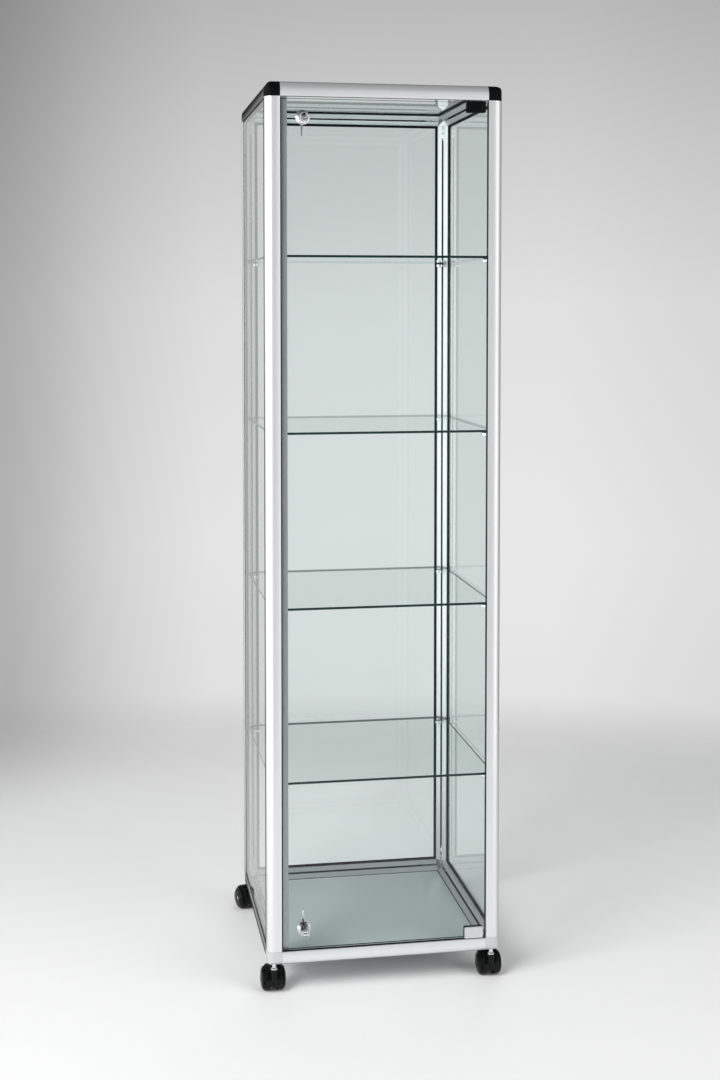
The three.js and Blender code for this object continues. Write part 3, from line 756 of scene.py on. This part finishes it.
def add_clip(node, x, y, body):
    low, high = box_mm(node)
    turn = Matrix.Rotation(math.atan2(-y, -x) - math.pi / 2, 4, "Z")
    face = Vector((x * (FRAME_HIGH.x - SLOT_FACE), y * (FRAME_HIGH.y - SLOT_FACE), 0))
    place = Matrix.Translation(face) @ turn
    clip = moved(slab([clip_outline()], low.z, high.z - PAD_THICKNESS, 0.9, 3), place)
    piece(f"{node}_body", clip, [CHROME], body, [node])
    pad = slab([circle(PAD_RADIUS, 28, (0, CLIP_REACH - 8.5))], high.z - PAD_THICKNESS, high.z + 0.25, 0.3)
    piece(f"{node}_pad", moved(pad, place), [RUBBER], body)
    screw_section = [circle(CLIP_SCREW_RADIUS, 24), list(reversed(circle(CLIP_SCREW_SOCKET, 6)))]
    screw = slab(screw_section, 0, 1.2, 0.3)
    under = place @ Matrix.Translation((0, CLIP_REACH - 9, low.z - 0.05)) @ Matrix.Scale(-1, 4, Z)
    screw.transform(under @ Matrix.Translation((0, 0, -1.1)))
    piece(f"{node}_screw", screw, [DARK_STEEL], body)


def add_shelves():
    for number in range(1, 5):
        node = f"shelf_{number}"
        low, high = box_mm(node)
        cut = SHELF_CORNER
        outline = rounded([
            (low.x + cut, low.y, 2), (high.x - cut, low.y, 2), (high.x, low.y + cut, 2),
            (high.x, high.y - cut, 2), (high.x - cut, high.y, 2), (low.x + cut, high.y, 2),
            (low.x, high.y - cut, 2), (low.x, low.y + cut, 2),
        ])
        sheet = moved(pane([outline], GLASS), Matrix.Translation((0, 0, low.z)))
        piece(f"{node}_glass", sheet, [SHELF, EDGE], node, [node])
        for name, (x, y) in SIDES.items():
            add_clip(f"{node}_clip_{name}", x, y, node)


# Door. Its pieces are drawn facing the front: x to the right, y up and z backwards from the frame.
FACING = along(Vector((0, FRONT, 0)), X, Z, Y)


def lock_centre(name):
    low, high = box_mm(f"lock_{name}_body")
    return (low.x + high.x) / 2, (low.z + high.z) / 2


def add_door_glass():
    low, high = box_mm("door_glass")
    outer = rectangle((low.x, low.z), (high.x, high.z), 2)
    holes = [circle(LOCK_HOLE, 32, lock_centre(name), True) for name in ("upper", "lower")]
    sheet = pane([outer, *holes], GLASS)
    place = FACING @ Matrix.Translation((0, 0, DOOR_DEPTH))
    piece("door_glass_pane", moved(sheet, place), [CLEAR, EDGE], "door", ["door_glass"])


def clamp_solids(node, upward):
    """A clamp's front plate, back plate, packing, pin and screws. The pin and screws are in place."""
    low, high = box_mm(node)
    web_outer = high.z - PIN_REACH if upward else low.z + PIN_REACH
    tip = low.z if upward else high.z
    bottom, top = sorted((web_outer, tip))
    glass_front, glass_back = DOOR_DEPTH - PACKING, DOOR_DEPTH + GLASS + PACKING
    outline = rectangle((low.x, bottom), (high.x, top), 2.2)
    front = slab([outline], CLAMP_PLATE_FRONT, glass_front - 0.1, 0.6)
    back = slab([outline], glass_back + 0.1, CLAMP_PLATE_BACK, 0.6)
    web = sorted((web_outer, web_outer - CLAMP_WEB if upward else web_outer + CLAMP_WEB))
    packing = slab([rectangle((low.x + 1, web[0]), (high.x - 1, web[1]), 0.5)], glass_front, glass_back)
    outwards = 1 if upward else -1
    reach = sorted((web_outer - outwards, web_outer + outwards * PIN_REACH))
    pin = slab([circle(PIN_RADIUS, 24)], *reach, 0.4)
    pin.transform(Matrix.Translation((PIVOT_X, FRONT + PIVOT_DEPTH, 0)))
    middle = (low.x + high.x) / 2
    screws = []
    section = [circle(CLAMP_SCREW_RADIUS, 28), list(reversed(circle(CLAMP_SCREW_SOCKET, 6)))]
    for offset in (-CLAMP_SCREW_OFFSET, CLAMP_SCREW_OFFSET):
        centre = Matrix.Translation((middle + offset, (bottom + top) / 2, CLAMP_SCREW_START))
        screws.append(moved(slab(section, 0, 1.4, 0.5), FACING @ centre))
    return front, back, packing, pin, screws


def add_clamp(level, finish):
    node = f"hinge_clamp_{level}"
    front, back, packing, pin, screws = clamp_solids(node, level == "upper")
    piece(f"{node}_front", moved(front, FACING), [finish], "door", [node])
    piece(f"{node}_back", moved(back, FACING), [BLACK], "door")
    piece(f"{node}_packing", moved(packing, FACING), [RUBBER], "door")
    piece(f"{node}_pin", pin, [ZINC], "door")
    piece(f"{node}_screws", gathered(screws), [CHROME], "door")


def add_lock(name, upward):
    """A cam lock: flanged barrel in front of the glass, nut behind it, and a plug with a cam."""
    x, z = lock_centre(name)
    place = FACING @ Matrix.Translation((x, z, 0))
    back = DOOR_DEPTH - 0.15
    barrel = rounded([
        (BORE_RADIUS, LOCK_FRONT + 1.6), (7.4, LOCK_FRONT, 0.2), (8.3, LOCK_FRONT, 0.3),
        (BARREL_RADIUS, LOCK_FRONT + 0.9, 0.4),
        (BARREL_RADIUS, back - 7.5, 1), (11.5, back - 5.5, 1.2), (12.6, back - 4.4, 0.8),
        (12.6, back - 3.4, 0.4), (FLANGE_RADIUS - 0.8, back - 2.9, 0.6), (FLANGE_RADIUS, back - 1.8, 0.7),
        (FLANGE_RADIUS, back, 0.2), (LOCK_HOLE - 0.4, back), (LOCK_HOLE - 0.4, DOOR_DEPTH + GLASS + 0.1),
        (BORE_RADIUS, DOOR_DEPTH + GLASS + 0.1),
    ])
    piece(f"lock_{name}_barrel", moved(revolve(barrel, 48), place), [CHROME], "door",
          [f"lock_{name}_body"])
    nut_outline = [circle(NUT_RADIUS, 6), circle(BORE_RADIUS, 32, clockwise=True)]
    nut = slab(nut_outline, DOOR_DEPTH + GLASS + 0.4, NUT_BACK, 0.4)
    piece(f"lock_{name}_nut", moved(nut, place), [ZINC], "door")
    plug = slab([circle(PLUG_RADIUS, 40)], LOCK_FRONT + 1.2, CAM_BACK + 1.2, 0.5)
    half = Vector((KEYWAY_WIDTH / 2, KEYWAY_HEIGHT / 2))
    keyway = slab([rectangle(-half, half, 1)], LOCK_FRONT - 1, LOCK_FRONT + KEYWAY_DEPTH)
    plug = combined(plug, [keyway], "DIFFERENCE")
    body = f"lock_{name}_plug"
    piece(f"lock_{name}_plug", moved(plug, place), [CHROME], body, [f"lock_{name}_cam"])
    finger = rectangle((-CAM_WIDTH / 2, 4), (CAM_WIDTH / 2, CAM_LENGTH), 1.5)
    blade = slab([finger], CAM_FRONT, CAM_BACK, 0.4)
    hub = slab([circle(CAM_HUB_RADIUS, 36)], CAM_FRONT, CAM_BACK, 0.5)
    tongue = combined(hub, [blade], "UNION")
    moved(tongue, place @ Matrix.Rotation(0 if upward else math.pi, 4, "Z"))
    piece(f"lock_{name}_tongue", tongue, [ZINC], body)


def add_door():
    add_door_glass()
    add_clamp("upper", BLACK)
    add_clamp("lower", CASTING)
    add_lock("upper", False)
    add_lock("lower", True)


# Castors.
ACROSS = along(Vector((0, CASTOR_TRAIL, WHEEL_RADIUS)), Y, Z, X)


def hood_solid():
    """The hood over both wheels, the web between them and the boss that turns on the stem."""
    half = HOOD_WIDTH / 2
    rim = rounded([(HOOD_INNER, -half, 0.4), (HOOD_OUTER, -half, 2),
                   (HOOD_OUTER, half, 2), (HOOD_INNER, half, 0.4)])
    cover = moved(revolve(rim, 40, HOOD_BACK, HOOD_FRONT), ACROSS)
    fin = [(0.01, -WEB_HALF, 0.3), (HOOD_INNER + 1, -WEB_HALF),
           (HOOD_INNER + 1, WEB_HALF), (0.01, WEB_HALF, 0.3)]
    web = moved(revolve(rounded(fin), 40, HOOD_BACK, HOOD_FRONT), ACROSS)
    axle_boss = moved(slab([circle(BOSS_RADIUS, 32)], -WEB_HALF, WEB_HALF), ACROSS)
    boss = slab([circle(BOSS_RADIUS, 32)], WHEEL_RADIUS, BOSS_TOP, 0.6)
    axle_hole = moved(slab([circle(AXLE_RADIUS + 0.3, 24)], -9, 9), ACROSS)
    whole = combined(cover, [web, axle_boss, boss], "UNION")
    stem_hole = slab([circle(COLLAR_RADIUS + 0.05, 32)], 30, 60)
    return combined(whole, [axle_hole, stem_hole], "DIFFERENCE")


def stem_solid():
    """The steel stem and its collar."""
    outline = rounded([
        (0, COLLAR_BOTTOM), (COLLAR_RADIUS, COLLAR_BOTTOM, 0.5), (COLLAR_RADIUS, COLLAR_TOP, 1.2),
        (STEM_RADIUS + 1.2, COLLAR_TOP),
        (STEM_RADIUS, COLLAR_TOP + 1.2, 0.6), (STEM_RADIUS, STEM_TOP, 0.8), (0, STEM_TOP),
    ])
    return revolve(outline, 32)


def tyre_solid(side):
    """One wheel's tread, from its inner face out to where the dome begins."""
    outline = rounded([
        (TYRE_INNER, WHEEL_INNER), (WHEEL_RADIUS, WHEEL_INNER, 1.5),
        (WHEEL_RADIUS, WHEEL_HALF_TRACK - 8, 2.5),
        (WHEEL_RADIUS - 1.4, WHEEL_HALF_TRACK - 5, 0.8), (WHEEL_RADIUS - 3, WHEEL_HALF_TRACK - 4.6),
        (TYRE_INNER, WHEEL_HALF_TRACK - 6),
    ])
    return moved(revolve([(r, side * x) for r, x in outline], 48), ACROSS)


def dome_solid(side):
    """One wheel's outer dome: a raised rim, a shallow channel and a smooth cap."""
    outline = rounded([
        (AXLE_RADIUS + 0.1, WHEEL_INNER + 0.5), (16.8, WHEEL_INNER + 0.5), (16.8, WHEEL_HALF_TRACK - 7),
        (WHEEL_RADIUS - 3, WHEEL_HALF_TRACK - 4.4), (WHEEL_RADIUS - 3.4, WHEEL_HALF_TRACK - 3, 0.8),
        (WHEEL_RADIUS - 5, WHEEL_HALF_TRACK - 2.3, 0.6), (WHEEL_RADIUS - 6.2, WHEEL_HALF_TRACK - 3.1, 0.6),
        (WHEEL_RADIUS - 8, WHEEL_HALF_TRACK - 1.2, 2), (9, WHEEL_HALF_TRACK, 4),
        (6, WHEEL_HALF_TRACK, 0.5), (5.4, WHEEL_HALF_TRACK - 0.6),
        (AXLE_RADIUS + 0.1, WHEEL_HALF_TRACK - 0.6),
    ])
    return moved(revolve([(r, side * x) for r, x in outline], 48), ACROSS)


def castor_place(name):
    """Where a castor stands and which way it points, from the joints of its own body."""
    joints = {joint["name"]: joint for joint in frame["joints"]}
    swivel = joints[f"castor_{name}_swivel"]["pos_m"]
    axle = joints[f"castor_{name}_roll"]["axis"]
    turn = Matrix.Rotation(math.atan2(axle[1], axle[0]), 4, "Z")
    return Matrix.Translation((swivel[0] / MM, swivel[1] / MM, 0)) @ turn


def add_castors():
    for name in SIDES:
        place = castor_place(name)
        body = f"castor_{name}"
        cover = moved(hood_solid(), place)
        piece(f"{body}_cover", cover, [GLOSS_BLACK], body, [f"{body}_hood"])
        piece(f"{body}_stem", moved(stem_solid(), place), [CHROME], body)
        wheels = f"{body}_wheelset"
        axle = moved(slab([circle(AXLE_RADIUS, 28)], 1 - WHEEL_HALF_TRACK, WHEEL_HALF_TRACK - 1, 0.5), ACROSS)
        piece(f"{body}_axle", moved(axle, place), [ZINC], wheels, [f"{body}_wheels"])
        for label, side in (("inner", -1), ("outer", 1)):
            tyre, dome = moved(tyre_solid(side), place), moved(dome_solid(side), place)
            piece(f"{body}_tyre_{label}", tyre, [WHEEL_BLACK], wheels)
            piece(f"{body}_dome_{label}", dome, [GLOSS_BLACK], wheels)


# The studio.
FLOOR_RADIUS = 2.6
FADE_START = 1.2
LAMPS_AIM = Vector((0, 0, 0.6))
CAMERA_DOWN, CAMERA_TURN = 0.0484, 0.1714


def add_floor():
    """A pale floor that fades out into the backdrop at its edge."""
    solid = bmesh.new()
    bmesh.ops.create_circle(solid, cap_ends=True, radius=FLOOR_RADIUS, segments=96)
    mesh = bpy.data.meshes.new("floor")
    solid.to_mesh(mesh)
    solid.free()
    floor = bpy.data.objects.new("floor", mesh)
    bpy.context.scene.collection.objects.link(floor)
    material, tree, shader = new_material("floor_paper", (0.9, 0.9, 0.9), 0.6, Specular_IOR_Level=0.1)
    coordinates = tree.nodes.new("ShaderNodeTexCoord")
    length = tree.nodes.new("ShaderNodeVectorMath")
    length.operation = "LENGTH"
    fade = tree.nodes.new("ShaderNodeMapRange")
    fade.interpolation_type = "SMOOTHSTEP"
    fade.inputs["From Min"].default_value = FADE_START
    fade.inputs["From Max"].default_value = FLOOR_RADIUS - 0.2
    clear = tree.nodes.new("ShaderNodeBsdfTransparent")
    mix = tree.nodes.new("ShaderNodeMixShader")
    tree.links.new(coordinates.outputs["Object"], length.inputs[0])
    tree.links.new(length.outputs["Value"], fade.inputs["Value"])
    tree.links.new(fade.outputs["Result"], mix.inputs["Fac"])
    tree.links.new(shader.outputs[0], mix.inputs[1])
    tree.links.new(clear.outputs[0], mix.inputs[2])
    tree.links.new(mix.outputs[0], tree.nodes["Material Output"].inputs["Surface"])
    mesh.materials.append(material)


def graded(tree, value, low, high, stops):
    """Grey by a value between low and high, through (value, brightness) stops."""
    ranged = tree.nodes.new("ShaderNodeMapRange")
    ranged.inputs["From Min"].default_value = low
    ranged.inputs["From Max"].default_value = high
    ramp = tree.nodes.new("ShaderNodeValToRGB")
    elements = ramp.color_ramp.elements
    while len(elements) < len(stops):
        elements.new(0.5)
    for element, (place, brightness) in zip(elements, stops):
        element.position = (place - low) / (high - low)
        element.color = (brightness, brightness, brightness, 1)
    tree.links.new(value, ranged.inputs["Value"])
    tree.links.new(ranged.outputs["Result"], ramp.inputs["Fac"])
    return ramp.outputs["Color"]


def product(tree, first, second):
    multiply = tree.nodes.new("ShaderNodeVectorMath")
    multiply.operation = "MULTIPLY"
    tree.links.new(first, multiply.inputs[0])
    tree.links.new(second, multiply.inputs[1])
    return multiply.outputs["Vector"]


def mixed(tree, factor, first, second):
    """One colour where the factor is 0 and the other where it is 1."""
    mix = tree.nodes.new("ShaderNodeMix")
    mix.data_type = "RGBA"
    tree.links.new(factor, mix.inputs["Factor"])
    tree.links.new(first, mix.inputs["A"])
    tree.links.new(second, mix.inputs["B"])
    return mix.outputs["Result"]


def add_surroundings():
    """A plain backdrop to look at, and a studio of soft boxes and dark cards to reflect. Stops go by
    the height of a direction, or by its bearing in degrees."""
    world = bpy.data.worlds.new("studio")
    bpy.context.scene.world = world
    world.use_nodes = True
    tree = world.node_tree
    coordinates = tree.nodes.new("ShaderNodeTexCoord")
    parts = tree.nodes.new("ShaderNodeSeparateXYZ")
    tree.links.new(coordinates.outputs["Generated"], parts.inputs[0])
    bearing = tree.nodes.new("ShaderNodeMath")
    bearing.operation = "ARCTAN2"
    tree.links.new(parts.outputs["X"], bearing.inputs[0])
    tree.links.new(parts.outputs["Y"], bearing.inputs[1])
    degrees = tree.nodes.new("ShaderNodeMath")
    degrees.operation = "DEGREES"
    tree.links.new(bearing.outputs[0], degrees.inputs[0])
    backdrop = product(
        tree,
        graded(tree, parts.outputs["Z"], -0.5, 0.5,
               [(-0.5, 0.7), (-0.33, 0.64), (-0.28, 0.63), (-0.24, 0.78), (-0.15, 0.81), (0, 0.75),
                (0.1, 0.62), (0.18, 0.5), (0.35, 0.3)]),
        graded(tree, degrees.outputs[0], -180, 180,
               [(-180, 0.9), (-20, 0.6), (-2.5, 0.55), (0.8, 0.8), (4, 0.95), (9, 1), (17, 1), (22, 0.91),
                (60, 0.8)]),
    )
    reflected = product(
        tree,
        graded(tree, parts.outputs["Z"], -1, 1,
               [(-1, 0.9), (0, 1), (0.16, 1), (0.32, 0.6), (0.5, 0.2), (0.75, 0.1), (1, 0.1)]),
        graded(tree, degrees.outputs[0], -180, 180,
               [(-180, 0.42), (-160, 0.42), (-148, 1.7), (-50, 1.7), (-44, 0.03), (-19, 0.02), (-16, 0.5),
                (0, 0.7), (24, 0.7), (34, 0.22), (85, 0.25), (105, 0.8), (120, 1.5), (147, 1.4), (160, 0.46),
                (180, 0.42)]),
    )
    unlit_above = graded(tree, parts.outputs["Z"], -1, 1, [(-1, 1), (-0.02, 1), (0.06, 0.15), (1, 0.15)])
    in_front = graded(tree, degrees.outputs[0], -180, 180,
                      [(-180, 1), (-164, 1), (-152, 0), (152, 0), (164, 1), (180, 1)])
    reflected = mixed(tree, in_front, reflected, product(tree, reflected, unlit_above))
    is_camera_ray = tree.nodes.new("ShaderNodeLightPath").outputs["Is Camera Ray"]
    seen = mixed(tree, is_camera_ray, reflected, backdrop)
    tree.links.new(seen, tree.nodes["Background"].inputs["Color"])


def add_softbox(name, place, size, power, mirrored=False):
    """A square light aimed at the showcase, hidden from the camera and mirrored only when asked."""
    light = bpy.data.lights.new(name, "AREA")
    light.shape = "SQUARE"
    light.size = size
    light.energy = power
    lamp = bpy.data.objects.new(name, light)
    bpy.context.scene.collection.objects.link(lamp)
    lamp.location = place
    lamp.rotation_euler = (LAMPS_AIM - Vector(place)).to_track_quat("-Z", "Y").to_euler()
    lamp.visible_camera = False
    lamp.visible_glossy = mirrored


def add_camera():
    """Standing to the left of the door, about three quarters of the way up."""
    data = bpy.data.cameras.new("camera")
    camera = bpy.data.objects.new("camera", data)
    bpy.context.scene.collection.objects.link(camera)
    camera.location = (-0.6125, -3.4774, 1.4467)
    camera.rotation_euler = (math.pi / 2 - CAMERA_DOWN, 0, -CAMERA_TURN)
    data.sensor_width = 36
    data.lens = 52.81
    data.shift_y = -0.148
    bpy.context.scene.camera = camera


add_camera()
add_profiles()
add_door_stop()
add_corners()
add_panels()
add_shelves()
add_door()
add_castors()
add_floor()
add_surroundings()
add_softbox("key", (-2.6, -2.2, 3.0), 2.2, 138)
add_softbox("fill", (2.4, -2.8, 2.6), 2.4, 62)
add_softbox("back", (0.4, 1.5, 3.0), 2.0, 23)
add_softbox("sparkle", (-2.5, -2.5, 2.3), 0.35, 10, mirrored=True)
bpy.context.scene.view_settings.view_transform = "Standard"
bpy.context.scene.cycles.transparent_max_bounces = 32
